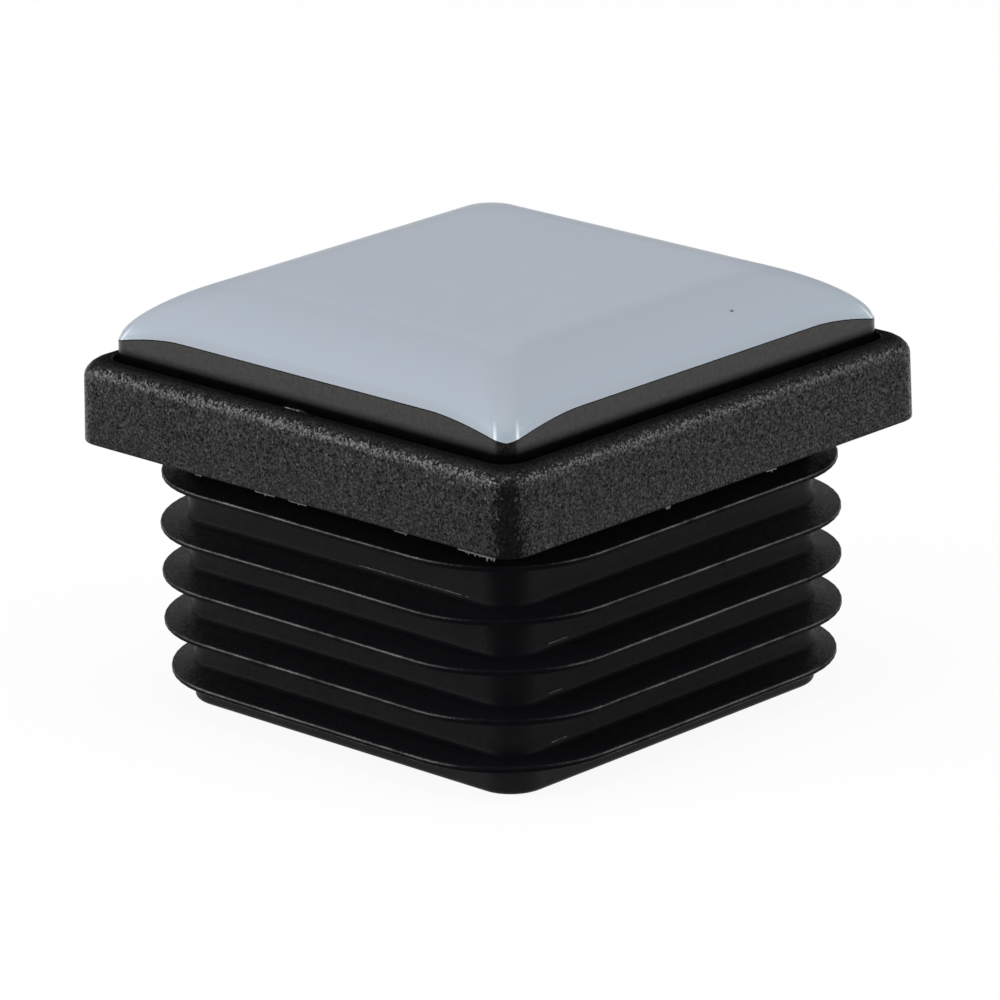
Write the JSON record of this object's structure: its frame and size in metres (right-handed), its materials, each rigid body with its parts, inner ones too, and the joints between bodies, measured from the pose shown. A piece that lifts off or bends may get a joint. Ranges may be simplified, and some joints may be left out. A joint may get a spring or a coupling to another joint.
{
  "type": "square tube glide",
  "caption": "Square tube-end glide: a hollow finned plug under a square head with a shallow tray, which holds a bonded low-friction pad with rounded edges.",
  "frame": {"origin": "centre of the plug's open end, the plane that the part stands on", "axes": "+Z along the plug towards the gliding face, +X and +Y square to the sides"},
  "size_m": [0.03, 0.03, 0.0219],
  "materials": {
    "insert_plastic": "black, fine spark texture on the head, smooth semi-gloss plug and fins",
    "adhesive": "black, glossy where it shows in the groove",
    "core_rubber": "black, smooth and slightly glossy",
    "sole": "blue-grey, smooth satin"
  },
  "bodies": {
    "root": {"tube_insert": "insert_plastic", "adhesive_layer": "adhesive", "rubber_core": "core_rubber", "sole_skin": "sole"}
  },
  "joints": []
}
